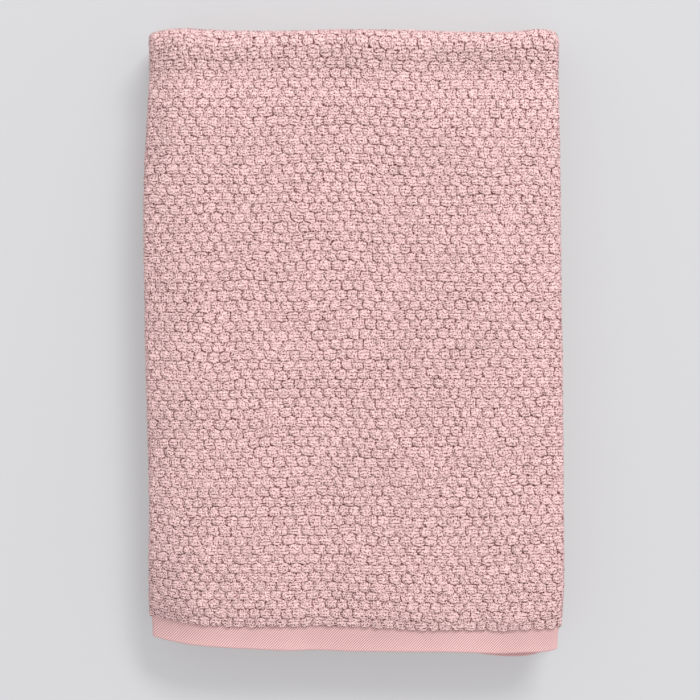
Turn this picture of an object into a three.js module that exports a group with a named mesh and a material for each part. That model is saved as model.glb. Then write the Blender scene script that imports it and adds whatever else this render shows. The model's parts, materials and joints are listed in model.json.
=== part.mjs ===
// A bath towel folded for the shelf, in millimetres, +Z up.
// X runs across the towel, Y from its hem edge (-Y) to its back fold (+Y), and Z = 0 is the surface it lies on.
//
// One long cloth is tri-folded lengthwise into a strip, flaps inside, and the strip is folded in quarters.
// That stacks four leaves of three layers each:
//   top_leaf           face up, ends in the outer end hem at -Y
//   upper_middle_leaf  face down, ends in the inner end hem at -Y
//   lower_middle_leaf  face up
//   bottom_leaf        face down
// front_fold joins the two lower leaves. back_fold_outer wraps from bottom to top round back_fold_inner.
import * as THREE from 'three';

// Driving dimensions
const FOLDED_WIDTH = 234;
const FOLDED_LENGTH = 353;
const CLOTH = 3.4; // terry, pressed by the stack
const LAYER_GAP = 0.3; // air between two layers of one leaf
const LEAF_GAP = 0.3; // air between two leaves
const HEM_CLOTH = 2.2; // woven end hem, turned over twice
const HEM_DEPTH = 13;
const INNER_HEM_SETBACK = 0.8; // how far the inner end hem stays behind the outer one
const FRONT_FOLD_SETBACK = 3; // how far the front fold stays behind the outer end hem
const SIDE_HEM_CLOTH = 2.6;
const SIDE_HEM_WIDTH = 7;
const STITCH_CLOTH = 2.6; // the thread row stands this thick round the cloth
const STITCH_WIDTH = 0.6;
const TUCKED_EDGE_SETBACK = 6; // left flap's edge, from the right side of the towel
const OPEN_EDGE_SETBACK = 9; // right flap's edge, from the left side of the towel
const PIECE_GAP = 0.3; // between two pieces sewn or woven to each other
const HINGE_GAP = 1; // between the two halves' ends and the line they unfold about, both sides together
const TURN_STEPS = 8; // facets in the side folds' half turns
const WRAP_STEPS = 14; // facets in the front and back folds' half turns

// The tri-folded strip, seen in section: x across it, r up from its flap side to its face
const LAYER_PITCH = CLOTH + LAYER_GAP;
const FLAP_OUTER_R = CLOTH / 2;
const FLAP_INNER_R = FLAP_OUTER_R + LAYER_PITCH;
const FACE_R = FLAP_INNER_R + LAYER_PITCH;
const LEAF = FACE_R + CLOTH / 2;
const RIGHT_TURN_X = FOLDED_WIDTH / 2 - CLOTH / 2 - LAYER_PITCH;
const LEFT_TURN_X = -FOLDED_WIDTH / 2 + CLOTH / 2 + LAYER_PITCH / 2;
const TUCKED_EDGE_X = FOLDED_WIDTH / 2 - TUCKED_EDGE_SETBACK;
const OPEN_EDGE_X = -FOLDED_WIDTH / 2 + OPEN_EDGE_SETBACK;
const SIDE_HEM_ROOM = SIDE_HEM_WIDTH + PIECE_GAP;

// The stack, seen from the side
const LEAF_PITCH = LEAF + LEAF_GAP;
const MIDDLE_Z = 2 * LEAF + 1.5 * LEAF_GAP;
const FRONT_Z = LEAF + LEAF_GAP / 2;
const FRONT_Y = -FOLDED_LENGTH / 2;
const BACK_FOLD_Y = FOLDED_LENGTH / 2 - MIDDLE_Z;
const LEAF_END_Y = BACK_FOLD_Y - HINGE_GAP / 2;
const FRONT_FOLD_Y = FRONT_Y + FRONT_FOLD_SETBACK + FRONT_Z;
const INNER_WRAP_R = LEAF_GAP / 2;
const OUTER_WRAP_R = INNER_WRAP_R + LEAF_PITCH;
const HEM_ROOM = HEM_DEPTH + STITCH_WIDTH + 2 * PIECE_GAP;

const terry = new THREE.MeshStandardMaterial({ color: 0xdcaeae, roughness: 0.95, metalness: 0 });
const hemCloth = new THREE.MeshStandardMaterial({ color: 0xe0b3b2, roughness: 0.9, metalness: 0 });
const thread = new THREE.MeshStandardMaterial({ color: 0xe6bcbb, roughness: 0.8, metalness: 0 });

const towel = new THREE.Group();

// Points on a half turn of a fold, from one flat layer to the next
function halfTurn(x, r, radius, fromAngle) {
  const points = [];
  for (let i = 0; i <= TURN_STEPS; i += 1) {
    const angle = fromAngle + (Math.PI * i) / TURN_STEPS;
    points.push(new THREE.Vector2(x + radius * Math.cos(angle), r + radius * Math.sin(angle)));
  }
  return points;
}

// One side of the cloth through the tri-fold, offset from its middle line and cut back by trim at both free edges
function foldedLine(trim, offset) {
  return [
    new THREE.Vector2(OPEN_EDGE_X + trim, FLAP_OUTER_R - offset),
    ...halfTurn(RIGHT_TURN_X, FLAP_INNER_R, LAYER_PITCH + offset, -Math.PI / 2),
    ...halfTurn(LEFT_TURN_X, (FLAP_INNER_R + FACE_R) / 2, LAYER_PITCH / 2 + offset, Math.PI / 2),
    new THREE.Vector2(TUCKED_EDGE_X - trim, FLAP_INNER_R - offset),
  ];
}

function stripSection(trim, thickness) {
  const face = foldedLine(trim, thickness / 2);
  const back = foldedLine(trim, -thickness / 2);
  return new THREE.Shape([...face, ...back.reverse()]);
}

// A flat hem on the middle line of a flap at height r, starting at x
function sideHemSection(x, r) {
  const low = r - SIDE_HEM_CLOTH / 2;
  const high = r + SIDE_HEM_CLOTH / 2;
  return new THREE.Shape([
    new THREE.Vector2(x, low),
    new THREE.Vector2(x + SIDE_HEM_WIDTH, low),
    new THREE.Vector2(x + SIDE_HEM_WIDTH, high),
    new THREE.Vector2(x, high),
  ]);
}

// Runs a section along the strip. place(r, t) gives [y, z] for height r at share t of the way
function runAlong(section, steps, place) {
  const geometry = new THREE.ExtrudeGeometry(section, { depth: 1, steps, bevelEnabled: false });
  const positions = geometry.attributes.position;
  for (let i = 0; i < positions.count; i += 1) {
    const [y, z] = place(positions.getY(i), positions.getZ(i));
    positions.setXYZ(i, positions.getX(i), y, z);
  }
  geometry.computeVertexNormals();
  return geometry;
}

function addPiece(name, geometry, material) {
  const piece = new THREE.Mesh(geometry, material);
  piece.name = name;
  towel.add(piece);
}

// Flat stretches of the strip, lying face up or face down with their lower side at z
const faceUp = (fromY, toY, z) => (r, t) => [toY + (fromY - toY) * t, z + r];
const faceDown = (fromY, toY, z) => (r, t) => [fromY + (toY - fromY) * t, z + LEAF - r];

// Half turns of the strip about a line through (y, z), towards -Y or +Y
function frontTurn(r, t) {
  const angle = Math.PI * (1 - t);
  const radius = INNER_WRAP_R + r;
  return [FRONT_FOLD_Y - radius * Math.sin(angle), FRONT_Z - radius * Math.cos(angle)];
}

function backTurnOuter(r, t) {
  const angle = Math.PI * t;
  const radius = OUTER_WRAP_R + r;
  return [BACK_FOLD_Y + radius * Math.sin(angle), MIDDLE_Z - radius * Math.cos(angle)];
}

function backTurnInner(r, t) {
  const angle = Math.PI * (1 - t);
  const radius = INNER_WRAP_R + LEAF - r;
  return [BACK_FOLD_Y + radius * Math.sin(angle), MIDDLE_Z - radius * Math.cos(angle)];
}

// One stretch of terry and the two side hems along its free edges
function addStretch(name, steps, place) {
  addPiece(name, runAlong(stripSection(SIDE_HEM_ROOM, CLOTH), steps, place), terry);
  const tucked = sideHemSection(TUCKED_EDGE_X - SIDE_HEM_WIDTH, FLAP_INNER_R);
  addPiece(`${name}_tucked_side_hem`, runAlong(tucked, steps, place), hemCloth);
  const open = sideHemSection(OPEN_EDGE_X, FLAP_OUTER_R);
  addPiece(`${name}_open_side_hem`, runAlong(open, steps, place), hemCloth);
}

// The woven hem across an end of the strip, and the thread row between it and the terry
function addEndHem(name, fromY, lay, z) {
  const stitchY = fromY + HEM_DEPTH + PIECE_GAP;
  const hem = runAlong(stripSection(0, HEM_CLOTH), 1, lay(fromY, fromY + HEM_DEPTH, z));
  addPiece(`${name}_end_hem`, hem, hemCloth);
  const row = runAlong(stripSection(0, STITCH_CLOTH), 1, lay(stitchY, stitchY + STITCH_WIDTH, z));
  addPiece(`${name}_hem_stitching`, row, thread);
}

const BOTTOM_Z = 0;
const LOWER_MIDDLE_Z = LEAF_PITCH;
const UPPER_MIDDLE_Z = 2 * LEAF_PITCH;
const TOP_Z = 3 * LEAF_PITCH;
const LOWER_START_Y = FRONT_FOLD_Y + PIECE_GAP;
const INNER_HEM_Y = FRONT_Y + INNER_HEM_SETBACK;

addStretch('top_leaf', 1, faceUp(FRONT_Y + HEM_ROOM, LEAF_END_Y, TOP_Z));
addStretch('upper_middle_leaf', 1, faceDown(INNER_HEM_Y + HEM_ROOM, LEAF_END_Y, UPPER_MIDDLE_Z));
addStretch('lower_middle_leaf', 1, faceUp(LOWER_START_Y, LEAF_END_Y, LOWER_MIDDLE_Z));
addStretch('bottom_leaf', 1, faceDown(LOWER_START_Y, LEAF_END_Y, BOTTOM_Z));
addStretch('front_fold', WRAP_STEPS, frontTurn);
addStretch('back_fold_outer', WRAP_STEPS, backTurnOuter);
addStretch('back_fold_inner', WRAP_STEPS, backTurnInner);
addEndHem('outer', FRONT_Y, faceUp, TOP_Z);
addEndHem('inner', INNER_HEM_Y, faceDown, UPPER_MIDDLE_Z);

export default towel;
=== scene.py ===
"""The looks of a folded bath towel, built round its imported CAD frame. Metres, +Z up.

The towel is one cloth. It is followed here by two lengths measured on its face: u across it and v
along it. strip_section() folds it across into a tri-folded strip, strip_path() lays that strip out
in four leaves, and settle() lets the whole stack sag. knops() raises the pile's popcorn pattern.
"""

import json
import math

import bpy
import numpy as np
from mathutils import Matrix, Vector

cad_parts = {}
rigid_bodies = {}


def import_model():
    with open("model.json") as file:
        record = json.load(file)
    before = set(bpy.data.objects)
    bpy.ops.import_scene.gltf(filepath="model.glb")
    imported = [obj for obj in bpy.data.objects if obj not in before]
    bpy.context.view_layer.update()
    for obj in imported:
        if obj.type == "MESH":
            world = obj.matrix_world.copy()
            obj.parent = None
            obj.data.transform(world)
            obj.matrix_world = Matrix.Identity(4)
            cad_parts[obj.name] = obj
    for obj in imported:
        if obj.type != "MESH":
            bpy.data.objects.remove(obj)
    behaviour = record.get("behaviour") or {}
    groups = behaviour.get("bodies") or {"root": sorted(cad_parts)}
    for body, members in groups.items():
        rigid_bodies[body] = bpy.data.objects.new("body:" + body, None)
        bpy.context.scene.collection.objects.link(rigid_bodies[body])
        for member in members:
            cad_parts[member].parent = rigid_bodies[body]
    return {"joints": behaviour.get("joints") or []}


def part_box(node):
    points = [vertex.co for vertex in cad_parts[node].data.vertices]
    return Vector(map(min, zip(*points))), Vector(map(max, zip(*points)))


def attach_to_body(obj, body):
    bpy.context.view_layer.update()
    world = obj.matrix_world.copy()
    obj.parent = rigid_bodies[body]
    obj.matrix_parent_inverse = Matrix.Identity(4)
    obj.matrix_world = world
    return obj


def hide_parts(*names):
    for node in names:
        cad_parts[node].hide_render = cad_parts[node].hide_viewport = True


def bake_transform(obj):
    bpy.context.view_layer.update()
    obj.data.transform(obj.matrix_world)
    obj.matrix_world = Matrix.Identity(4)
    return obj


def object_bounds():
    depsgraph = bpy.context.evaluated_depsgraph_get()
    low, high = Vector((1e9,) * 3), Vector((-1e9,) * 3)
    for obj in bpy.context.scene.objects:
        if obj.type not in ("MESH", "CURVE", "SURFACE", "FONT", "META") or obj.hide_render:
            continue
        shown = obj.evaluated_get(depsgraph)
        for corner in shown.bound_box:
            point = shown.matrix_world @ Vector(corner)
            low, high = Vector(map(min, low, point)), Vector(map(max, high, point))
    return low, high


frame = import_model()
cad_low, cad_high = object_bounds()

# ---------------------------------------------------------------- sizes that come from the frame
JOINT = frame["joints"][0]
LOWER, UPPER = JOINT["parent"], JOINT["child"]
HINGE_Y, MIDDLE_Z = JOINT["pos_m"][1:]


def span(node, axis):
    """Lowest and highest place of a CAD node along an axis, 0 for X to 2 for Z."""
    low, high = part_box(node)
    return low[axis], high[axis]


HALF_WIDTH = cad_high.x
FRONT_Y, BACK_Y = cad_low.y, cad_high.y
TOP_Z = cad_high.z
LEAF = span("bottom_leaf", 2)[1] - span("bottom_leaf", 2)[0]
LEAF_GAP = span("lower_middle_leaf", 2)[0] - span("bottom_leaf", 2)[1]
OPEN_HEM_Z = sum(span("top_leaf_open_side_hem", 2)) / 2
TUCKED_HEM_Z = sum(span("top_leaf_tucked_side_hem", 2)) / 2
PITCH = TUCKED_HEM_Z - OPEN_HEM_Z  # from one layer of the strip to the next
CLOTH = LEAF - 2 * PITCH
HEM_CLOTH = span("outer_end_hem", 2)[1] - span("outer_end_hem", 2)[0] - 2 * PITCH
HEM_DEPTH = span("outer_end_hem", 1)[1] - span("outer_end_hem", 1)[0]
TUCKED_LOW_X, TUCKED_EDGE_X = span("top_leaf_tucked_side_hem", 0)
OPEN_EDGE_X, OPEN_HIGH_X = span("top_leaf_open_side_hem", 0)
FRONT_FOLD_Y = span("front_fold", 1)[1]
FRONT_FOLD_Z = sum(span("front_fold", 2)) / 2
INNER_HEM_Y = span("inner_end_hem", 1)[0]
INNER_WRAP = LEAF_GAP / 2  # radius of the inside of the front and inner back folds
OUTER_WRAP = INNER_WRAP + LEAF + LEAF_GAP  # and of the outer back fold
RIGHT_TURN_X = HALF_WIDTH - LEAF / 2
LEFT_TURN = (PITCH + CLOTH) / 2  # radius of the left side fold's face
LEFT_TURN_X = LEFT_TURN - HALF_WIDTH

# ---------------------------------------------------------------- the pile and weave
KNOP_U, KNOP_V = 0.00648, 0.00545  # from one knop to the next, across and along the cloth
KNOP_HEIGHT = 0.0015
KNOP_CORNER = 0.0012  # radius of a knop's corners
KNOP_RISE, KNOP_DOME = 0.00075, 0.0026  # how far in it is up, and how far in it still rounds up
CREVICE_SHADE_REACH = 0.00065  # how far in from a knop's edge its crevice is painted dark, as painted shade
LOOPS, LOOP_ROWS = 4, 3  # a knop's loops, across and along
LOOP_HEIGHT = 0.00055
TWILL = 0.0014  # from one twill line to the next, along the hem
YARN = 0.0006  # and from one weft yarn to the next, across it
PLY = 0.0005  # from one turn of the sewing thread to the next
HEM_SINK = 0.0013  # how far the woven hem lies below the top of the pile
HEM_UNDER = 0.004  # how far the woven hem runs on under the first knops
HEM_EDGE = 0.0016  # how much of it from its edge in has the rounded edge's fine rows
SIDE_HEM_CLOTH = HEM_CLOTH + 0.0004
GROUND_UNDER = 0.0085  # how far the terry's ground runs on under the hem
SIDE_TRIM = 0.0075  # how far from the cloth's side edges the terry gives way to the side hems

# ---------------------------------------------------------------- grids
FINE = 0.00042  # on the top leaf and outer back fold, which are what is mostly seen
MEDIUM = 0.00095  # on the rest of the pile
WOVEN = 0.0011  # on the end hems
COARSE = 0.0045  # where nothing shows
FINE_REACH = 0.008  # how far in from a side turn the flap side has the finer grid
EPS = 1e-9
SAME_PLACE = 1e-6


# ---------------------------------------------------------------- small helpers
def smoothstep(t):
    t = np.clip(t, 0, 1)
    return t * t * (3 - 2 * t)


def value_noise(a, b, seed, size=64):
    """Smooth noise from -1 to 1 over the plane (a, b), one unit to a cell."""
    table = np.random.default_rng(seed).uniform(-1, 1, (size, size))
    ia, ib = np.floor(a).astype(int), np.floor(b).astype(int)
    fa, fb = smoothstep(a - ia), smoothstep(b - ib)
    ia0, ia1, ib0, ib1 = ia % size, (ia + 1) % size, ib % size, (ib + 1) % size
    low = table[ia0, ib0] * (1 - fa) + table[ia1, ib0] * fa
    high = table[ia0, ib1] * (1 - fa) + table[ia1, ib1] * fa
    return low * (1 - fb) + high * fb


def wander(u, v, waves):
    """The sum of some waves of noise: (reach, size across, size along, seed)."""
    return sum(reach * value_noise(u / wide, v / long, seed) for reach, wide, long, seed in waves)


def through(points, at):
    """A smooth line through a few (place, value) points, level past its ends."""
    places, values = (np.array(x, float) for x in zip(*points))
    slopes = np.gradient(values, places)
    slopes[0] = slopes[-1] = 0
    at = np.clip(at, places[0], places[-1])
    k = np.clip(np.searchsorted(places, at) - 1, 0, len(places) - 2)
    width = places[k + 1] - places[k]
    t = (at - places[k]) / width
    return (
        values[k] * (1 + 2 * t) * (1 - t) ** 2
        + width * slopes[k] * t * (1 - t) ** 2
        + values[k + 1] * t * t * (3 - 2 * t)
        + width * slopes[k + 1] * t * t * (t - 1)
    )


def line_points(start, end, step):
    return np.linspace(start, end, max(2, math.ceil(abs(end - start) / step) + 1))


def rows_between(start, end, step):
    return np.linspace(start, end, max(2, round((end - start) / step) + 1))


def joined(rows):
    """Runs of rows put end to end, each beginning where the one before it ended."""
    return np.concatenate([rows[0], *[run[1:] for run in rows[1:]]])


# ---------------------------------------------------------------- the strip, from the side
def strip_path():
    """The stretches of the strip from its outer hem to its inner one: (name, length on the face,
    place). place(s) gives (y, z, ny, nz): the flap side's line at length s along the stretch, and
    the way that its face looks."""

    def flat(from_y, to_y, z, up):
        way = math.copysign(1, to_y - from_y)

        def place(s):
            return from_y + way * s, np.full_like(s, z), np.zeros_like(s), np.full_like(s, up)

        return abs(to_y - from_y), place

    def turn(y, z, side, face_radius, flap_radius, outward, rising):
        length = math.pi * max(face_radius, LEAF)  # the inner back fold's own face hardly turns

        def place(s):
            angle = math.pi * s / length
            angle = angle if rising else math.pi - angle
            away_y, away_z = side * np.sin(angle), -np.cos(angle)
            line_y, line_z = y + flap_radius * away_y, z + flap_radius * away_z
            return line_y, line_z, outward * away_y, outward * away_z

        return length, place

    face_up, face_down = 1, -1
    outer_face, inner_face = OUTER_WRAP + LEAF, INNER_WRAP + LEAF
    middle_z = MIDDLE_Z + LEAF_GAP / 2 + LEAF
    top_z = MIDDLE_Z + LEAF_GAP / 2 + LEAF + LEAF_GAP
    front = turn(FRONT_FOLD_Y, FRONT_FOLD_Z, -1, inner_face, INNER_WRAP, 1, True)
    stretches = [
        ("top_leaf", flat(FRONT_Y, HINGE_Y, top_z, face_up)),
        ("back_fold_outer", turn(HINGE_Y, MIDDLE_Z, 1, outer_face, OUTER_WRAP, 1, False)),
        ("bottom_leaf", flat(HINGE_Y, FRONT_FOLD_Y, LEAF, face_down)),
        ("front_fold", front),
        ("lower_middle_leaf", flat(FRONT_FOLD_Y, HINGE_Y, LEAF + LEAF_GAP, face_up)),
        ("back_fold_inner", turn(HINGE_Y, MIDDLE_Z, 1, INNER_WRAP, inner_face, -1, True)),
        ("upper_middle_leaf", flat(HINGE_Y, INNER_HEM_Y, middle_z, face_down)),
    ]
    return [(name, length, place) for name, (length, place) in stretches]


STRETCHES = strip_path()
STARTS = dict(zip([s[0] for s in STRETCHES], np.cumsum([0] + [s[1] for s in STRETCHES[:-1]])))
ENDS = {name: STARTS[name] + length for name, length, _ in STRETCHES}
CLOTH_V = ENDS["upper_middle_leaf"]  # the whole cloth's length on its face


def on_path(v):
    """(y, z, ny, nz) of the strip's flap side at lengths v along the cloth. Both ends run on
    straight."""
    found = np.zeros((4, len(v)))
    which = np.clip(np.searchsorted([*STARTS.values()], v + EPS) - 1, 0, len(STRETCHES) - 1)
    for k, (name, _, place) in enumerate(STRETCHES):
        here = which == k
        if here.any():
            found[:, here] = place(v[here] - STARTS[name])
    return found


# ---------------------------------------------------------------- the strip, in section
def strip_section(step, cloth=CLOTH, sink=0.0, trim=0.0):
    """The loop round the folded cloth's section, along its face and back on its hidden side:
    columns of x, r, the outward normal and the length u on the face. r rises from the flap side to
    the face. step is the grid on what shows. sink lowers the strip's face, and trim stops the cloth
    short of its two side edges."""
    thin = (CLOTH - cloth) / 2  # a thinner cloth keeps the terry's middle line
    open_x, tucked_x = OPEN_EDGE_X + trim, TUCKED_EDGE_X - trim
    right_face, left_face = LEAF / 2 - thin, LEFT_TURN - thin
    right_hollow, left_hollow = LEAF / 2 - CLOTH + thin - sink, (PITCH - CLOTH) / 2 + thin
    right_steps, left_steps = (round(math.pi * face / step) for face in (right_face, left_face))
    hollow_steps = 8 if step <= MEDIUM else 5
    face_r, under_face_r = LEAF - thin - sink, LEAF - CLOTH + thin - sink
    parts = []

    def add_line(x0, x1, r, normal_r, face, grid=COARSE):
        x = line_points(x0, x1, grid)
        parts.append((x, np.full_like(x, r), np.zeros_like(x), np.full_like(x, normal_r), face))

    def add_turn(x, low, high, radius, from_angle, turn, face, steps):
        angle = np.radians(np.linspace(from_angle, from_angle + turn, steps + 1))
        way = 1 if face else -1
        r = (low + high) / 2 + (high - low) / 2 * np.sin(angle)
        x = x + radius * np.cos(angle)
        parts.append((x, r, way * np.cos(angle), way * np.sin(angle), face))

    add_line(open_x, RIGHT_TURN_X - FINE_REACH, thin, -1, True)
    add_line(RIGHT_TURN_X - FINE_REACH, RIGHT_TURN_X, thin, -1, True, step)
    add_turn(RIGHT_TURN_X, thin, face_r, right_face - sink, -90, 180, True, right_steps)
    add_line(RIGHT_TURN_X, LEFT_TURN_X, face_r, 1, True, step)
    add_turn(LEFT_TURN_X, PITCH + thin, face_r, left_face - sink, 90, 180, True, left_steps)
    add_line(LEFT_TURN_X, LEFT_TURN_X + FINE_REACH, PITCH + thin, -1, True, step)
    add_line(LEFT_TURN_X + FINE_REACH, tucked_x, PITCH + thin, -1, True)
    low = PITCH + CLOTH - thin
    add_line(tucked_x, LEFT_TURN_X, low, 1, False)
    add_turn(LEFT_TURN_X, low, under_face_r, left_hollow, 270, -180, False, hollow_steps)
    add_line(LEFT_TURN_X, RIGHT_TURN_X, under_face_r, -1, False)
    low = CLOTH - thin
    add_turn(RIGHT_TURN_X, low, under_face_r, right_hollow, 90, -180, False, hollow_steps)
    add_line(RIGHT_TURN_X, open_x, low, 1, False)

    columns = [[], [], [], [], []]
    for x, r, nx, nr, face in parts:
        first = 0
        if columns[0]:
            apart = math.hypot(columns[0][-1][-1] - x[0], columns[1][-1][-1] - r[0])
            first = 1 if apart < SAME_PLACE else 0
        for column, values in zip(columns, (x, r, nx, nr, np.full(len(x), face))):
            column.append(values[first:])
    x, r, nx, nr, face = (np.concatenate(c) for c in columns)
    u = np.concatenate([[0], np.cumsum(np.hypot(np.diff(x), np.diff(r)))])
    last = int(np.flatnonzero(face)[-1])
    across = np.where(face, u, u[last] - (u - u[last]))
    return {"x": x, "r": r, "nx": nx, "nr": nr, "face": face, "u": across}


# ---------------------------------------------------------------- the popcorn pile
# how far knops stray from their even places, and how ragged their edges are: see wander()
STRAY_U = [(0.0012, 0.021, 0.017, 3), (0.0016, 0.07, 0.05, 4)]
STRAY_U += [(0.0003, 0.005, 0.005, 14), (0.00030, 0.0013, 0.0014, 12)]
STRAY_V = [(0.0009, 0.019, 0.023, 5), (0.0013, 0.06, 0.08, 6)]
STRAY_V += [(0.0004, 0.0052, 0.006, 15), (0.00026, 0.0014, 0.0013, 13)]
OPENNESS = [(0.82, 0.0021, 0.0019, 7), (0.20, 0.012, 0.01, 8)]  # of the crevices between knops, which sets how deep they are and how dark their painted shade is
REPEAT = (128, 512)  # knops across and rows along before their own numbers come round again


def knops(u, v):
    """The pile at cloth lengths u, v: its height, and its shade, each from 0 in a crevice to 1 on a
    knop, the shade being painted shade that darkens the colour in the crevices; 1 where its loops
    are whole; the row of each knop; and the place within the knop counted in loops (across, along,
    and a number of the knop's own)."""
    rng = np.random.default_rng(11)
    shift, tilt, own = (rng.uniform(-1, 1, REPEAT) for _ in range(3))
    across = (u + wander(u, v, STRAY_U)) / KNOP_U
    along = (v + wander(u, v, STRAY_V)) / KNOP_V
    along = along - 0.05 * np.cos(2 * math.pi * across) * np.sin(math.pi * along)
    j = np.rint(along).astype(int)
    in_row = along - j
    every_other, bowed = 0.5 * (j & 1), 0.12 * (1 - 4 * in_row**2)
    across = across - every_other - bowed
    row = j % REPEAT[1]

    def sides(knop):
        """Where a knop begins and ends, which differs a little from knop to knop."""
        before = knop - 0.5 + 0.07 * shift[(knop - 1) % REPEAT[0], row]
        after = knop + 0.5 + 0.07 * shift[knop % REPEAT[0], row]
        return before, after

    i = np.rint(across).astype(int)
    i = np.where(across > sides(i)[1], i + 1, i)
    i = np.where(across < sides(i)[0], i - 1, i)
    before, after = sides(i)
    side_edge = KNOP_U * np.minimum(after - across, across - before)
    row_edge = KNOP_V * (0.5 - np.abs(in_row))
    from_side, from_row = (np.maximum(KNOP_CORNER - x, 0) for x in (side_edge, row_edge))
    rounded = KNOP_CORNER - np.hypot(from_side, from_row)
    nearest = np.minimum(side_edge, row_edge)
    edge = np.where(nearest < KNOP_CORNER, np.maximum(rounded, 0), nearest)
    upright = 1 / (1 + np.exp(np.clip((side_edge - row_edge) / 0.0003, -30, 30)))
    rise = np.clip(edge / KNOP_RISE, 0, 1)
    dome = np.clip(edge / KNOP_DOME, 0, 1)
    profile = 0.84 * np.sqrt(1 - (1 - rise) ** 2) + 0.16 * dome
    open_here = np.clip(0.17 + 0.50 * upright + wander(u, v, OPENNESS), 0.04, 1)
    # shade is painted shade: the colour goes dark near a knop's edge, where shade falls in the
    # crevice, and more so where the crevice is open
    shade = 1 - open_here * (1 - smoothstep(edge / CREVICE_SHADE_REACH))
    whole = smoothstep((edge - 0.0002) / 0.0005)
    column = i % REPEAT[0]
    off_middle = across - (after + before) / 2
    slant = 0.24 * off_middle - 0.12 * in_row + 0.06 * tilt[column, row]
    height = (1 - open_here * (1 - profile)) * (0.92 + slant)
    loop_across = LOOPS * off_middle / (after - before) - 0.5
    place = np.stack([loop_across, LOOP_ROWS * in_row, own[column, row]], -1)
    return height, shade, whole, j, place


def loop_bumps(pile):
    """How far each loop stands up, from 0 to 1, at places that knops() gave."""
    loop, ridge = (0.5 + 0.5 * np.cos(2 * math.pi * pile[..., k]) for k in (0, 1))
    return ridge**0.7 * (0.3 + 0.7 * loop)


# ---------------------------------------------------------------- how the stack settles
# Smooth lines through (place, move) points. How far the sides stand out, from front to back:
LEFT_SIDE = [(-0.176, -0.0006), (-0.146, -0.0003), (-0.089, -0.0006), (-0.044, 0.0007)]
LEFT_SIDE += [(0.002, 0.0017), (0.093, 0.0021), (0.138, -0.0003), (0.168, -0.0014)]
RIGHT_SIDE = [(-0.176, 0.0004), (-0.146, 0.0017), (-0.089, 0.0020), (-0.032, 0.0012)]
RIGHT_SIDE += [(0.024, 0.0003), (0.093, -0.0001), (0.138, -0.0009), (0.168, -0.0014)]
# how far back the three edges at the front lie, and how far out the back edge, from left to right:
OUTER_HEM_SETBACK = [(-0.117, 0.0082), (-0.108, 0.0066), (-0.098, 0.0052), (-0.078, 0.0036)]
OUTER_HEM_SETBACK += [(-0.05, 0.0024), (0.0, 0.0014), (0.06, 0.0010), (0.092, 0.0001)]
OUTER_HEM_SETBACK += [(0.108, 0.0006), (0.117, 0.0020)]
INNER_HEM_SETBACK = [(-0.117, 0.0100), (-0.05, 0.0036), (0.05, 0.0010), (0.066, -0.0012)]
INNER_HEM_SETBACK += [(0.080, -0.0032), (0.104, -0.0030), (0.112, 0.0002), (0.117, 0.0030)]
FRONT_FOLD_SETBACK = [(-0.117, 0.0080), (-0.108, 0.0044), (-0.095, 0.0012), (-0.07, 0.0)]
BACK_EDGE = [(-0.117, 0.0), (-0.105, 0.0018), (-0.085, 0.0008), (-0.05, 0.0), (-0.01, 0.0007)]
BACK_EDGE += [(0.03, 0.0), (0.09, 0.0), (0.104, 0.0014), (0.117, 0.0)]
FRONT_REACH = 0.07  # the setbacks fade out over this length behind the front edge
HINGE_REACH = 0.06  # and the lower half's sag fades out over this length before the hinge


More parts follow.
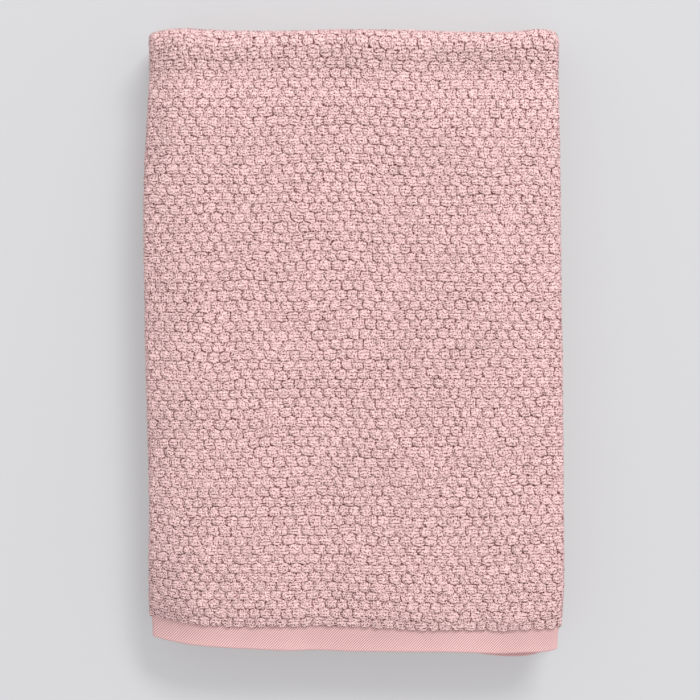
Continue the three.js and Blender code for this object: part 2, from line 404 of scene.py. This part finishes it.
def settle(points):
    """Moves points of the ideal stack to where the soft stack lies: a squarer back fold with a dip
    before it, bowed sides, a low left side where the strip is a layer thinner, a sagging hem edge.
    Beside the hinge only the upper half sags, so that the two halves meet level when it opens."""
    x, y, z = points[..., 0], points[..., 1], points[..., 2]
    past, up = np.maximum(y - HINGE_Y, 0), z - MIDDLE_Z
    reach = np.maximum(np.hypot(past, up), EPS)
    square = ((past / reach) ** 4 + (np.abs(up) / reach) ** 4) ** -0.25
    square = 1 + (square - 1) * (past > 0)
    y, z = np.where(past > 0, HINGE_Y + past * square, y), MIDDLE_Z + up * square
    height = np.clip(z / TOP_Z, 0, 1.2)
    side = x / HALF_WIDTH
    level = np.clip(z / LEAF, 0, 4)
    uneven = value_noise(y / 0.045 + 9, level * 0.9 + 3 * np.sign(x), 21)
    uneven = 0.0011 * uneven * (1.15 - height) * 1.6
    bow = np.where(x < 0, through(LEFT_SIDE, y), through(RIGHT_SIDE, y)) * (0.35 + 0.65 * height)
    new_x = x + np.sign(x) * np.abs(side) ** 3 * (bow + uneven)

    near_front = smoothstep((FRONT_Y + FRONT_REACH - y) / FRONT_REACH)
    near_back = smoothstep((y - HINGE_Y) / (BACK_Y - HINGE_Y))
    in_top = smoothstep((z - MIDDLE_Z - LEAF_GAP / 2 - LEAF) / LEAF_GAP)
    in_upper = smoothstep((z - MIDDLE_Z) / LEAF_GAP + 0.5)
    setback = in_top * through(OUTER_HEM_SETBACK, x)
    setback = setback + (1 - in_top) * in_upper * through(INNER_HEM_SETBACK, x)
    setback = setback + (1 - in_upper) * through(FRONT_FOLD_SETBACK, x)
    off_middle = np.clip((z - MIDDLE_Z / 2) / MIDDLE_Z, -0.5, 0.5)
    bulge = -0.0016 * (1 - in_upper) * np.cos(math.pi * off_middle)
    bulge = bulge * (0.6 + 0.4 * value_noise(x / 0.05, np.zeros_like(x), 29))
    front_wave = 0.0005 * value_noise(x / 0.02, z / 0.02 + 5, 23)
    back_wave = 0.0007 * value_noise(x / 0.03, z / 0.015, 24)
    new_y = y + near_front * (setback + bulge + front_wave)
    new_y = new_y + near_back * (through(BACK_EDGE, x) * height + back_wave)

    from_back, from_front = BACK_Y - y, y - FRONT_Y
    ridge = 0.0018 * np.exp(-(((from_back - 0.003) / 0.010) ** 2))
    dip = -0.0028 * np.exp(-(((from_back - 0.026) / 0.013) ** 2))
    ears = 0.0022 * np.exp(-(from_back / 0.014) ** 2) * np.abs(side) ** 7
    hem_sag = -0.0042 * smoothstep((0.024 - from_front) / 0.024)
    front_sag = -0.0016 * np.exp(-from_front / 0.05)
    corner = -0.0034 * np.exp(-((from_front / 0.03) ** 2)) * smoothstep((-side - 0.62) / 0.38)
    left_sag = -0.0085 * np.clip((-side - 0.70) / 0.30, 0, 1.1) ** 2
    shoulders = left_sag - 0.0011 * np.abs(side) ** 9 + 0.0005 * (1 - side * side)
    lumps = 0.0007 * value_noise(x / 0.05 + 4, y / 0.06 + 7, 25)
    lumps = lumps + 0.00045 * value_noise(x / 0.024, y / 0.03, 26)
    sag = ridge + dip + ears + hem_sag + front_sag + corner + shoulders + lumps
    beside_hinge = smoothstep((y - HINGE_Y + HINGE_REACH) / HINGE_REACH)
    share = height + beside_hinge * (np.clip(z / MIDDLE_Z - 1, 0, 1.2) - height)
    return np.stack([new_x, new_y, z + share * sag], -1)


# ---------------------------------------------------------------- meshes
def lay(section, v, depth):
    """A grid of points: the section run along the strip at lengths v, moved out by depth."""
    y, z, ny, nz = (a[:, None] for a in on_path(v))
    r = section["r"][None] + depth * section["nr"][None]
    x = section["x"][None] + depth * section["nx"][None]
    return np.stack([x + 0 * y, y + r * ny, z + r * nz], -1)


def grid_normals(points):
    """Vertex normals of a grid whose columns run round a loop. Face columns look outwards."""
    along = np.gradient(points, axis=0)
    across = (np.roll(points, -1, axis=1) - np.roll(points, 1, axis=1)) / 2
    normals = np.cross(across, along)
    return normals / np.maximum(np.linalg.norm(normals, axis=-1, keepdims=True), 1e-12)


def zipped(ring):
    """Triangles that close a long thin ring of points, working along it from its two ends."""
    low, high, found = 0, len(ring) - 1, []
    while high - low > 1:
        if np.linalg.norm(ring[low + 1] - ring[high]) <= np.linalg.norm(ring[high - 1] - ring[low]):
            found.append((low, low + 1, high))
            low += 1
        else:
            found.append((low, high - 1, high))
            high -= 1
    return np.array(found)


def closed_tube(name, points, uv, normals=None, attributes=()):
    """A closed mesh from a grid (rows along, columns round), with both ends capped. uv is measured
    on the cloth; the second layer lays the same grid out on one sheet for baking."""
    rows, columns = points.shape[:2]
    at = np.arange(rows * columns).reshape(rows, columns)
    right = np.roll(at, -1, axis=1)
    quads = np.stack([at[:-1], right[:-1], right[1:], at[1:]], -1).reshape(-1, 4)
    caps = np.concatenate([at[0][zipped(points[0])[:, ::-1]], at[-1][zipped(points[-1])]])
    loops = np.concatenate([quads.ravel(), caps.ravel()])
    starts = [np.arange(len(quads)) * 4, quads.size + np.arange(len(caps)) * 3]
    starts = np.concatenate(starts)
    mesh = bpy.data.meshes.new(name)
    mesh.vertices.add(rows * columns)
    mesh.vertices.foreach_set("co", points.astype(np.float32).ravel())
    mesh.loops.add(len(loops))
    mesh.loops.foreach_set("vertex_index", loops.astype(np.int32))
    mesh.polygons.add(len(starts))
    mesh.polygons.foreach_set("loop_start", starts.astype(np.int32))
    mesh.update(calc_edges=True)
    mesh.polygons.foreach_set("use_smooth", np.arange(len(starts)) < len(quads))

    row_of, column_of = np.divmod(loops, columns)
    quad_column = np.arange(len(quads)) % columns  # a row's last quad runs on to the full turn
    column_of[: quads.size] = (quad_column[:, None] + [0, 1, 1, 0]).ravel()
    bake_v = 0.01 + 0.98 * row_of / (rows - 1)
    bake_v[quads.size :] = np.where(row_of[quads.size :] == 0, 0.004, 0.996)
    bake = np.stack([0.002 + 0.996 * column_of / columns, bake_v], -1)
    for layer, values in (("Cloth", uv.reshape(-1, 2)[loops]), ("OFBake", bake)):
        mesh.uv_layers.new(name=layer).data.foreach_set("uv", values.astype(np.float32).ravel())
    for label, kind, values in attributes:
        attribute = mesh.attributes.new(label, kind, "POINT")
        key = "value" if kind == "FLOAT" else "vector"
        attribute.data.foreach_set(key, values.astype(np.float32).ravel())
    mesh.validate()
    if normals is not None:
        mesh.normals_split_custom_set_from_vertices(normals.reshape(-1, 3).tolist())
    return linked(name, mesh)


def linked(name, data):
    """A new object with this data, in the scene."""
    item = bpy.data.objects.new(name, data)
    bpy.context.scene.collection.objects.link(item)
    return item


TERRY_FROM_V = HEM_DEPTH - GROUND_UNDER
FIRST_ROW = round((HEM_DEPTH + 0.4 * KNOP_V) / KNOP_V)  # the first and last rows of knops
LAST_ROW = round((CLOTH_V - HEM_DEPTH - 0.4 * KNOP_V) / KNOP_V)
PLAIN_HEIGHT = 0.55  # the pile's height, of 1, where the grid is too coarse for knops
KNOP_GRID = 0.0022  # the coarsest grid that has them
BURIED = KNOP_HEIGHT + 0.0011  # how far the ground lies below the pile's top under a hem
HIDDEN_DEPTH = 0.0003  # and how far in the cloth's hidden side lies


def terry_piece(name, v, step, relief):
    """A piece of the terry field over lengths v, with its pile. Its first and last rows shade on
    into its neighbours, so one row more is laid at each end and dropped again."""
    section = strip_section(step, trim=SIDE_TRIM)
    on_face = section["face"]
    wide = np.concatenate([[2 * v[0] - v[1]], v, [2 * v[-1] - v[-2]]])
    u, along = np.broadcast_arrays(section["u"][None], wide[:, None])
    height, shade, whole, row, pile = knops(u, along)
    has_knops = on_face & (np.abs(np.gradient(section["u"])) < KNOP_GRID)
    height = np.where(has_knops, height, PLAIN_HEIGHT)
    loops = LOOP_HEIGHT * loop_bumps(pile) * whole * (step < MEDIUM)
    depth = relief * (KNOP_HEIGHT * (height - 1) + np.where(has_knops, loops, 0))
    buried = (row < FIRST_ROW) | (row > LAST_ROW)
    depth = np.where(on_face, np.where(buried, -BURIED, depth), -HIDDEN_DEPTH)
    # Painted shadow: a ragged dark band along the first row's edge next to the hem, under the
    # knops' overhang, and the ground buried under the hem painted fully dark
    from_hem = np.where(row == FIRST_ROW, KNOP_V * (0.5 + pile[..., 1] / LOOP_ROWS), 1)
    ragged = 0.0009 + 0.0006 * value_noise(u / 0.0016, along / 0.0016, 33)
    shade = np.where(buried, 0, shade * smoothstep(from_hem / ragged))
    points = settle(lay(section, wide, depth))
    normals = grid_normals(points)
    keep = slice(1, -1)
    attributes = [
        # the knop attribute holds the painted crevice shade, not the knop's height
        ("knop", "FLOAT", shade[keep]),
        ("loops_whole", "FLOAT", whole[keep]),
        ("pile_at", "FLOAT_VECTOR", pile[keep]),
    ]
    uv = np.stack([u, along], -1)[keep]
    return closed_tube(name, points[keep], uv, normals[keep], attributes)


def rounded_ends(rows, radius):
    """How far in from its surfaces a cloth's rows lie where it ends in a rounded edge."""
    from_end = np.minimum(rows - rows[0], rows[-1] - rows)
    t = np.clip(from_end / radius, 0, 1)
    return -radius * (1 - np.sqrt(1 - (1 - t) ** 2))


def hem_piece(name, v_edge, inward):
    """A woven end hem, from the cloth's edge at v_edge to under the terry's first knops."""
    section = strip_section(WOVEN, cloth=HEM_CLOTH, sink=HEM_SINK - (CLOTH - HEM_CLOTH) / 2)
    round_edge = rows_between(0, HEM_EDGE, HEM_EDGE / 10)
    s = joined([round_edge, rows_between(HEM_EDGE, HEM_DEPTH + HEM_UNDER, WOVEN)])
    v = v_edge + s if inward > 0 else (v_edge - s)[::-1]
    sunk = rounded_ends(s, HEM_CLOTH * 0.48)[::inward]
    u, along = np.broadcast_arrays(section["u"][None], v[:, None])
    ripple = 0.00012 * value_noise(u / 0.006, along / 0.02, 31) * section["face"]
    points = settle(lay(section, v, sunk[:, None] + ripple))
    return closed_tube(name, points, np.stack([u, along], -1))


def side_hem_piece(name, v, low_x, high_x, r):
    """A narrow side hem along one free edge of the strip, at height r in it, with rounded edges."""
    half = SIDE_HEM_CLOTH / 2
    turns = np.radians(np.linspace(-90, 90, 7))
    x = [high_x - half + half * np.cos(turns), low_x + half - half * np.cos(turns)]
    x = np.concatenate(x)
    height = np.concatenate([half * np.sin(turns), -half * np.sin(turns)])
    section = {"x": x, "r": r + height, "nx": 0 * x, "nr": 0 * x}
    points = settle(lay(section, v, np.zeros((len(v), len(x)))))
    u = 0.001 * np.arange(len(x))
    return closed_tube(name, points, np.stack(np.broadcast_arrays(u[None], v[:, None]), -1))


STITCH, STITCH_GAP = 0.0027, 0.0006
STITCH_MARGIN = 0.004  # from the cloth's side edges to the first and last stitch
THREAD_RADIUS = 0.00032
STITCH_RINGS, THREAD_SIDES = 7, 8


def stitches(name, v_at):
    """The lockstitch row along the inner edge of an end hem: one small bead of thread a stitch."""
    section = strip_section(WOVEN)
    on_face = section["face"]
    u, x, r, nx, nr = (section[key][on_face] for key in ("u", "x", "r", "nx", "nr"))
    starts = np.arange(u[0] + STITCH_MARGIN, u[-1] - STITCH_MARGIN, STITCH + STITCH_GAP)
    rings = np.linspace(0, 1, STITCH_RINGS)
    swell = THREAD_RADIUS * np.sqrt(np.maximum(1 - (2 * rings - 1) ** 6, 0.02))
    under = -KNOP_HEIGHT - 0.0001 - 0.0004 * (2 * rings - 1) ** 4
    turns = np.linspace(0, 2 * math.pi, THREAD_SIDES + 1)[:-1]
    out = np.cos(turns)[None] * swell[:, None] + under[:, None]
    verts, faces = [], []
    for start in starts:
        at = start + STITCH * rings
        cx, cr, mx, mr = (np.interp(at, u, along)[:, None] for along in (x, r, nx, nr))
        px, pr = (cx + mx * out).ravel(), (cr + mr * out).ravel()
        pv = v_at + np.sin(turns)[None] * swell[:, None]
        y, z, ny, nz = on_path(pv.ravel())
        base = len(verts) * STITCH_RINGS * THREAD_SIDES
        verts.append(settle(np.stack([px, y + pr * ny, z + pr * nz], -1)))
        for ring in range(STITCH_RINGS - 1):
            for side in range(THREAD_SIDES):
                a = base + ring * THREAD_SIDES + side
                b = base + ring * THREAD_SIDES + (side + 1) % THREAD_SIDES
                faces.append((a, b, b + THREAD_SIDES, a + THREAD_SIDES))
        last = base + (STITCH_RINGS - 1) * THREAD_SIDES
        faces.append(tuple(base + side for side in reversed(range(THREAD_SIDES))))
        faces.append(tuple(last + side for side in range(THREAD_SIDES)))
    mesh = bpy.data.meshes.new(name)
    mesh.from_pydata(np.concatenate(verts).tolist(), [], faces)
    mesh.polygons.foreach_set("use_smooth", np.ones(len(mesh.polygons), bool))
    mesh.update()
    return linked(name, mesh)


# ---------------------------------------------------------------- materials
class Nodes:
    """A little shorthand for a material's node tree."""

    def __init__(self, name):
        self.material = bpy.data.materials.new(name)
        self.material.use_nodes = True
        self.tree = self.material.node_tree
        self.shader = self.tree.nodes["Principled BSDF"]

    def add(self, kind, inputs=(), **settings):
        node = self.tree.nodes.new(kind)
        for key, value in settings.items():
            setattr(node, key, value)
        for key, value in dict(inputs).items():
            self.feed(node.inputs[key], value)
        return node

    def feed(self, socket, value):
        if isinstance(value, bpy.types.NodeSocket):
            self.tree.links.new(value, socket)
        else:
            socket.default_value = value

    def maths(self, operation, a, b=0.0, c=0.0, clamp=False):
        node = self.add("ShaderNodeMath", {0: a, 1: b, 2: c}, operation=operation, use_clamp=clamp)
        return node.outputs[0]

    def mix(self, share, a, b):
        """Colour a where share is 0 and b where it is 1."""
        node = self.add("ShaderNodeMix", {0: share}, data_type="RGBA")
        self.feed(node.inputs[6], a)  # a colour mix has its colours on sockets 6, 7 and 2
        self.feed(node.inputs[7], b)
        return node.outputs[2]

    def noise(self, vector, scale, detail=2.0):
        inputs = {"Vector": vector, "Scale": scale, "Detail": detail}
        return self.add("ShaderNodeTexNoise", inputs).outputs[0]

    def wave(self, phase):
        """0 to 1 and back over each whole number of phase, 1 at the whole numbers."""
        turn = self.maths("COSINE", self.maths("MULTIPLY", phase, 2 * math.pi))
        return self.maths("MULTIPLY_ADD", turn, 0.5, 0.5)

    def bump(self, height, distance, strength=1.0, normal=None):
        inputs = {"Height": height, "Distance": distance, "Strength": strength}
        node = self.add("ShaderNodeBump", inputs)
        if normal is not None:
            self.feed(node.inputs["Normal"], normal)
        return node.outputs[0]


def cotton(nodes, sheen):
    nodes.shader.inputs["Roughness"].default_value = 0.93
    nodes.shader.inputs["Specular IOR Level"].default_value = 0.06
    nodes.shader.inputs["Sheen Weight"].default_value = sheen
    nodes.shader.inputs["Sheen Roughness"].default_value = 0.45
    nodes.shader.inputs["Sheen Tint"].default_value = (1.0, 0.86, 0.85, 1)


# The pile's two colours: fully lit, and in its deepest painted shade; random tone also falls
# between them
PILE_LIT = (1.0, 0.685, 0.675, 1)
PILE_SHADED = (0.140, 0.028, 0.025, 1)
HEM_LIGHT = (1.0, 0.65, 0.642, 1)
HEM_DEEP = (0.20, 0.07, 0.065, 1)
THREAD_PINK = (0.86, 0.60, 0.59, 1)


def terry_material():
    nodes = Nodes("terry_pile")
    cotton(nodes, 0.02)
    cloth = nodes.add("ShaderNodeUVMap", uv_map="Cloth").outputs[0]
    pile = nodes.add("ShaderNodeAttribute", attribute_name="pile_at").outputs["Vector"]
    # The knop attribute is the pile's painted shade: dark in the crevices and along the hem's edge
    knop = nodes.add("ShaderNodeAttribute", attribute_name="knop").outputs["Fac"]
    whole = nodes.add("ShaderNodeAttribute", attribute_name="loops_whole").outputs["Fac"]
    parts = nodes.add("ShaderNodeSeparateXYZ", {0: pile})
    p, q, own = parts.outputs
    warp = nodes.maths("MULTIPLY_ADD", nodes.noise(cloth, 600), 0.9, -0.45)
    p = nodes.maths("ADD", p, warp)
    q = nodes.maths("SUBTRACT", q, nodes.maths("MULTIPLY", warp, 0.6))
    column, row = (nodes.maths("FLOOR", nodes.maths("ADD", x, 0.5)) for x in (p, q))
    loop = nodes.maths("MULTIPLY_ADD", nodes.wave(p), 0.8, 0.2)
    loop = nodes.maths("POWER", nodes.maths("MULTIPLY", nodes.wave(q), loop), 0.7)
    loop = nodes.maths("MULTIPLY", loop, whole)
    own_number = nodes.maths("FLOOR", nodes.maths("MULTIPLY", own, 500.0))
    which = nodes.add("ShaderNodeCombineXYZ", {0: column, 1: row, 2: own_number}).outputs[0]
    chance = nodes.add("ShaderNodeTexWhiteNoise", {"Vector": which}).outputs[0]
    grain = nodes.noise(cloth, 1350, 1.0)
    fibre = nodes.noise(cloth, 2600, 3.0)
    patch = nodes.noise(cloth, 14)

    # lit is painted light: it starts from the painted crevice shade in knop, given a ragged edge
    ragged = nodes.maths("MULTIPLY_ADD", nodes.noise(cloth, 900), 0.3, -0.15)
    ragged = nodes.maths("ADD", knop, ragged)
    inputs = {0: ragged, 1: 0.10, 2: 0.95, 3: 0.0, 4: 1.0}  # from 0.10 to 0.95, onto 0 to 1
    lit = nodes.add("ShaderNodeMapRange", inputs).outputs[0]
    chance = nodes.maths("MULTIPLY", nodes.maths("SUBTRACT", chance, 0.5), whole)
    # Painted highlights on the loops' tops and painted shade in the gaps between them, then random
    # tone from chance, grain and fibre
    lit = nodes.maths("MULTIPLY", lit, nodes.maths("MULTIPLY_ADD", loop, 1.15, 0.26))
    lit = nodes.maths("MULTIPLY", lit, nodes.maths("MULTIPLY_ADD", chance, 0.70, 1.04))
    lit = nodes.maths("ADD", lit, nodes.maths("MULTIPLY_ADD", grain, 5.0, -2.22))
    lit = nodes.maths("ADD", lit, nodes.maths("MULTIPLY_ADD", fibre, 0.4, -0.2), clamp=True)
    colour = nodes.mix(lit, PILE_SHADED, PILE_LIT)
    patchy = nodes.maths("MULTIPLY_ADD", patch, 0.12, 0.94)
    colour = nodes.add("ShaderNodeVectorMath", {0: colour, 1: patchy}, operation="MULTIPLY")
    nodes.feed(nodes.shader.inputs["Base Color"], colour.outputs[0])
    normal = nodes.bump(fibre, 0.0002, 0.5)
    normal = nodes.bump(grain, 0.0005, 1.0, normal)
    normal = nodes.bump(loop, 0.0008, 1.0, normal)
    nodes.feed(nodes.shader.inputs["Normal"], normal)
    return nodes.material


def hem_material():
    nodes = Nodes("hem_twill")
    cotton(nodes, 0.15)
    cloth = nodes.add("ShaderNodeUVMap", uv_map="Cloth").outputs[0]
    parts = nodes.add("ShaderNodeSeparateXYZ", {0: cloth})
    u, v = parts.outputs[:2]
    sway = nodes.maths("MULTIPLY_ADD", nodes.noise(cloth, 160), 0.0009, -0.00045)
    slant = nodes.maths("ADD", nodes.maths("MULTIPLY_ADD", v, 0.85, u), sway)
    line = nodes.wave(nodes.maths("MULTIPLY", slant, 1 / TWILL))
    yarn = nodes.wave(nodes.maths("MULTIPLY", v, 1 / YARN))
    fibre = nodes.noise(cloth, 2400, 3.0)
    patch = nodes.noise(cloth, 30)
    weave = nodes.maths("MULTIPLY", line, nodes.maths("MULTIPLY_ADD", yarn, 0.25, 0.75))
    lit = nodes.maths("MULTIPLY_ADD", weave, 0.90, 0.13)
    lit = nodes.maths("ADD", lit, nodes.maths("MULTIPLY", fibre, 0.3))
    lit = nodes.maths("ADD", lit, nodes.maths("MULTIPLY_ADD", patch, 0.2, -0.1), clamp=True)
    nodes.feed(nodes.shader.inputs["Base Color"], nodes.mix(lit, HEM_DEEP, HEM_LIGHT))
    normal = nodes.bump(fibre, 0.0001, 0.5)
    nodes.feed(nodes.shader.inputs["Normal"], nodes.bump(weave, 0.00022, 0.8, normal))
    return nodes.material


def thread_material():
    nodes = Nodes("sewing_thread")
    cotton(nodes, 0.2)
    place = nodes.add("ShaderNodeTexCoord").outputs["Object"]
    parts = nodes.add("ShaderNodeSeparateXYZ", {0: place})
    slant = nodes.maths("ADD", parts.outputs[0], parts.outputs[1])
    ply = nodes.wave(nodes.maths("MULTIPLY", slant, 1 / PLY))
    nodes.feed(nodes.shader.inputs["Base Color"], nodes.mix(ply, HEM_LIGHT, THREAD_PINK))
    nodes.feed(nodes.shader.inputs["Normal"], nodes.bump(ply, 0.0001, 0.8))
    return nodes.material


TERRY, HEM, THREAD = terry_material(), hem_material(), thread_material()


# ---------------------------------------------------------------- the towel's pieces
PARTS = {  # the cloth's five pieces, and the stretches of the strip that each covers
    "top": ["top_leaf"],
    "outer": ["back_fold_outer"],
    "lower": ["bottom_leaf", "front_fold", "lower_middle_leaf"],
    "inner": ["back_fold_inner"],
    "middle": ["upper_middle_leaf"],
}
RIDES = {"top": UPPER, "lower": LOWER, "middle": UPPER}  # the two back folds ride with neither half
TERRY_NAMES = {
    "top": "top_terry",
    "outer": "back_fold_outer_terry",
    "lower": "lower_terry",
    "inner": "back_fold_inner_terry",
    "middle": "upper_middle_terry",
}
TERRY_STEPS = {  # from one row of the grid to the next
    "top_leaf": FINE,
    "back_fold_outer": 0.0005,
    "bottom_leaf": 0.0018,
    "front_fold": 0.0007,
    "lower_middle_leaf": MEDIUM,
    "back_fold_inner": 0.0012,
    "upper_middle_leaf": MEDIUM,
}
SIDE_HEM_STEPS = {
    "top_leaf": 0.004,
    "back_fold_outer": 0.003,
    "bottom_leaf": 0.004,
    "front_fold": 0.002,
    "lower_middle_leaf": 0.004,
    "back_fold_inner": 0.002,
    "upper_middle_leaf": 0.004,
}
SIDE_HEMS = {
    "tucked": (TUCKED_LOW_X, TUCKED_EDGE_X, PITCH + CLOTH / 2),
    "open": (OPEN_EDGE_X, OPEN_HIGH_X, CLOTH / 2),
}
INNER_RELIEF = 0.25  # the pile is pressed nearly flat inside the inner back fold
SEAM = 0.0012  # from an end hem's inner edge to its stitching


def part_rows(part, steps, margin):
    """The rows of a part's grid, as lengths v, no nearer than margin to the cloth's ends."""
    rows = []
    for name in PARTS[part]:
        start, end = max(STARTS[name], margin), min(ENDS[name], CLOTH_V - margin)
        rows.append(rows_between(start, end, steps[name]))
    return joined(rows)


def dress(piece, material):
    piece.data.materials.append(material)
    return piece


def attach(piece, part):
    """A leaf's piece rides with its half. A back fold's piece has its place baked into its mesh and
    rides with neither half."""
    if part in RIDES:
        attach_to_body(piece, RIDES[part])
    else:
        low, high = span(PARTS[part][0], 2)
        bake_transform(piece)


def build_terry():
    found = {}
    for part, stretches in PARTS.items():
        grid = FINE if part in ("top", "outer") else MEDIUM
        relief = INNER_RELIEF if part == "inner" else 1.0
        rows = part_rows(part, TERRY_STEPS, TERRY_FROM_V)
        piece = dress(terry_piece(TERRY_NAMES[part], rows, grid, relief), TERRY)
        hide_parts(*stretches)
        attach(piece, part)
        found[part] = piece
    return found


def build_end_hems():
    found = {}
    for end, part, edge, inward in (("outer", "top", 0.0, 1), ("inner", "middle", CLOTH_V, -1)):
        hem = dress(hem_piece(f"{end}_end_hem_cloth", edge, inward), HEM)
        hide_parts(f"{end}_end_hem")
        seam = edge + inward * (HEM_DEPTH + SEAM)
        thread = dress(stitches(f"{end}_hem_thread", seam), THREAD)
        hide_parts(f"{end}_hem_stitching")
        found[part] = [hem, thread]
        for piece in found[part]:
            attach(piece, part)
    return found


def build_side_hems():
    """The cloth's two side hems, cut where the terry pieces are."""
    found = {part: [] for part in PARTS}
    for part, stretches in PARTS.items():
        rows = part_rows(part, SIDE_HEM_STEPS, HEM_DEPTH)
        for edge, place in SIDE_HEMS.items():
            hem = side_hem_piece(f"{part}_{edge}_side_hem_cloth", rows, *place)
            dress(hem, HEM)
            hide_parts(*[f"{stretch}_{edge}_side_hem" for stretch in stretches])
            attach(hem, part)
            found[part].append(hem)
    return found


towel = build_terry()
end_hems = build_end_hems()
side_hems = build_side_hems()

RESTS_ON = {"top": ["middle"], "outer": ["inner"], "inner": ["lower"], "middle": ["lower"]}
for part, piece in towel.items():
    [towel[other] for other in RESTS_ON.get(part, [])]


# ---------------------------------------------------------------- floor, light and camera
FLOOR_REACH = 3.0  # from the towel to the floor's edge
WINDOW_WAY = (0.45, 0.9, 1.0)  # from the towel to the window
WINDOW_DISTANCE = 4.5
WINDOW_SIZE = (1.9, 1.1)
WINDOW_POWER = 135
VIEW_WIDTH = 0.3927  # what the camera takes in at the height of the towel's top
CAMERA_HEIGHT = 0.94  # above the towel's top
CAMERA_X, CAMERA_Y = -0.002, -0.0048


def build_floor():
    mesh = bpy.data.meshes.new("floor")
    corners = [(-1, -1), (1, -1), (1, 1), (-1, 1)]
    verts = [(x * FLOOR_REACH, y * FLOOR_REACH, 0) for x, y in corners]
    mesh.from_pydata(verts, [], [(0, 1, 2, 3)])
    nodes = Nodes("pale_floor")
    nodes.shader.inputs["Base Color"].default_value = (0.350, 0.350, 0.356, 1)
    nodes.shader.inputs["Emission Color"].default_value = (0.98, 0.98, 1.0, 1)
    nodes.shader.inputs["Emission Strength"].default_value = 0.29
    nodes.shader.inputs["Roughness"].default_value = 0.9
    nodes.shader.inputs["Specular IOR Level"].default_value = 0.1
    mesh.materials.append(nodes.material)
    linked("floor", mesh)


def build_lights():
    data = bpy.data.lights.new("window", "AREA")
    data.shape, data.size, data.size_y = "RECTANGLE", *WINDOW_SIZE
    data.energy = WINDOW_POWER
    light = linked("window", data)
    light.location = np.array(WINDOW_WAY) / np.linalg.norm(WINDOW_WAY) * WINDOW_DISTANCE
    light.rotation_mode = "QUATERNION"
    light.rotation_quaternion = light.location.to_track_quat("Z", "Y")
    world = bpy.data.worlds.new("studio")
    bpy.context.scene.world = world
    world.use_nodes = True
    background = world.node_tree.nodes["Background"]
    background.inputs["Color"].default_value = (0.985, 0.985, 1.0, 1)
    background.inputs["Strength"].default_value = 0.80


def build_camera():
    data = bpy.data.cameras.new("camera")
    data.sensor_width = 36
    data.lens = data.sensor_width * CAMERA_HEIGHT / VIEW_WIDTH
    camera = linked("camera", data)
    camera.location = (CAMERA_X, CAMERA_Y, TOP_Z + CAMERA_HEIGHT)
    bpy.context.scene.camera = camera


build_floor()
build_lights()
build_camera()
bpy.context.scene.view_settings.view_transform = "Standard"
